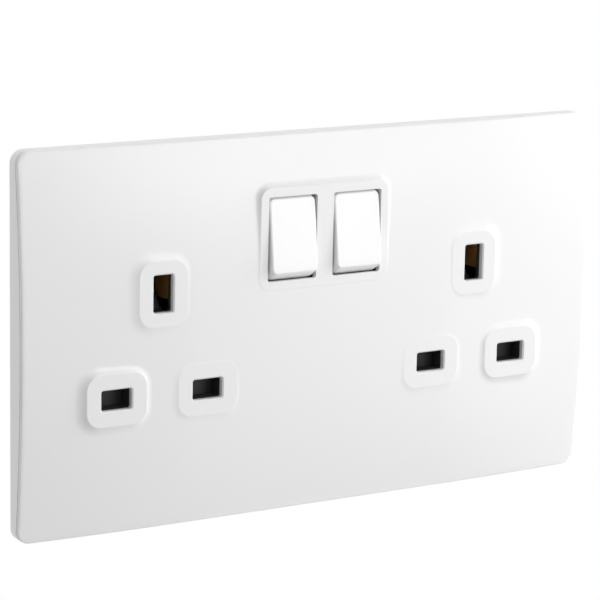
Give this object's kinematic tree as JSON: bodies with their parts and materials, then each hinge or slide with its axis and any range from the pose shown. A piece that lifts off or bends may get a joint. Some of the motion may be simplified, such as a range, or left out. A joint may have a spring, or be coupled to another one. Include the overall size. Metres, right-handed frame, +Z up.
{
  "type": "twin switched socket outlet",
  "caption": "Wall socket outlet with a domed white plate, square pin holes on raised pads, rocker switches and the mechanism behind.",
  "frame": {"origin": "midway between the two box fixing holes, on the wall face", "axes": "+X to the right as seen from the front, +Y into the wall, +Z up"},
  "size_m": [0.1464, 0.0284, 0.0854],
  "materials": {
    "white_plate": "gloss white urea moulding",
    "white_rocker": "gloss white moulding",
    "dark_moulding": "matt dark grey moulding",
    "black_moulding": "matt black moulding",
    "natural_moulding": "natural acetal",
    "brass": "plain rolled brass",
    "zinc_steel": "bright zinc-plated steel",
    "spring_steel": "drawn spring wire"
  },
  "bodies": {
    "outlet": {"front_plate": "white_plate", "mechanism_cover": "dark_moulding", "rear_housing": "dark_moulding", "neutral_busbar": "brass", "line_feed_bar": "brass", "earth_bar": "brass", "line_terminal": "brass", "neutral_terminal": "brass", "earth_terminal_left": "brass", "earth_terminal_right": "brass", "terminal_screws": "zinc_steel", "housing_screws": "zinc_steel", "shutter_spring_left": "spring_steel", "line_strip_left": "brass", "earth_sleeve_left": "brass", "line_sleeve_left": "brass", "neutral_sleeve_left": "brass", "shutter_spring_right": "spring_steel", "line_strip_right": "brass", "earth_sleeve_right": "brass", "line_sleeve_right": "brass", "neutral_sleeve_right": "brass"},
    "rocker_left": {"rocker_left": "white_rocker", "plunger_spring_left": "spring_steel"},
    "plunger_left": {"plunger_left": "natural_moulding"},
    "contact_arm_left": {"contact_arm_left": "brass"},
    "shutter_left": {"shutter_left": "black_moulding"},
    "rocker_right": {"rocker_right": "white_rocker", "plunger_spring_right": "spring_steel"},
    "plunger_right": {"plunger_right": "natural_moulding"},
    "contact_arm_right": {"contact_arm_right": "brass"},
    "shutter_right": {"shutter_right": "black_moulding"}
  },
  "joints": [
    {"name": "rocker_left_hinge", "type": "hinge", "parent": "outlet", "child": "rocker_left", "pos_m": [-0.0083, -0.0021, 0.0198], "axis": [1, 0, 0], "range_deg": [0, 13.8]},
    {"name": "plunger_left_slide", "type": "slide", "parent": "rocker_left", "child": "plunger_left", "axis": [0, -0.9928, 0.1201], "range_m": [0, 0.001], "stiffness_N_per_m": 800, "springref_m": -0.003, "deforming": ["plunger_spring_left"]},
    {"name": "contact_arm_left_hinge", "type": "hinge", "parent": "outlet", "child": "contact_arm_left", "pos_m": [-0.0083, 0.009, 0.0198], "axis": [1, 0, 0], "range_deg": [-18.4, 0]},
    {"name": "shutter_left_slide", "type": "slide", "parent": "outlet", "child": "shutter_left", "axis": [0, 0, -1], "range_m": [0, 0.006], "stiffness_N_per_m": 150, "springref_m": -0.004, "deforming": ["shutter_spring_left"]},
    {"name": "rocker_right_hinge", "type": "hinge", "parent": "outlet", "child": "rocker_right", "pos_m": [0.0083, -0.0021, 0.0198], "axis": [1, 0, 0], "range_deg": [0, 13.8]},
    {"name": "plunger_right_slide", "type": "slide", "parent": "rocker_right", "child": "plunger_right", "axis": [0, -0.9928, 0.1201], "range_m": [0, 0.001], "stiffness_N_per_m": 800, "springref_m": -0.003, "deforming": ["plunger_spring_right"]},
    {"name": "contact_arm_right_hinge", "type": "hinge", "parent": "outlet", "child": "contact_arm_right", "pos_m": [0.0083, 0.009, 0.0198], "axis": [1, 0, 0], "range_deg": [-18.4, 0]},
    {"name": "shutter_right_slide", "type": "slide", "parent": "outlet", "child": "shutter_right", "axis": [0, 0, -1], "range_m": [0, 0.006], "stiffness_N_per_m": 150, "springref_m": -0.004, "deforming": ["shutter_spring_right"]}
  ],
  "couplings": [
    {"joint": "contact_arm_left_hinge", "follows": "rocker_left_hinge", "ratio": -1.3333},
    {"joint": "contact_arm_right_hinge", "follows": "rocker_right_hinge", "ratio": -1.3333}
  ]
}
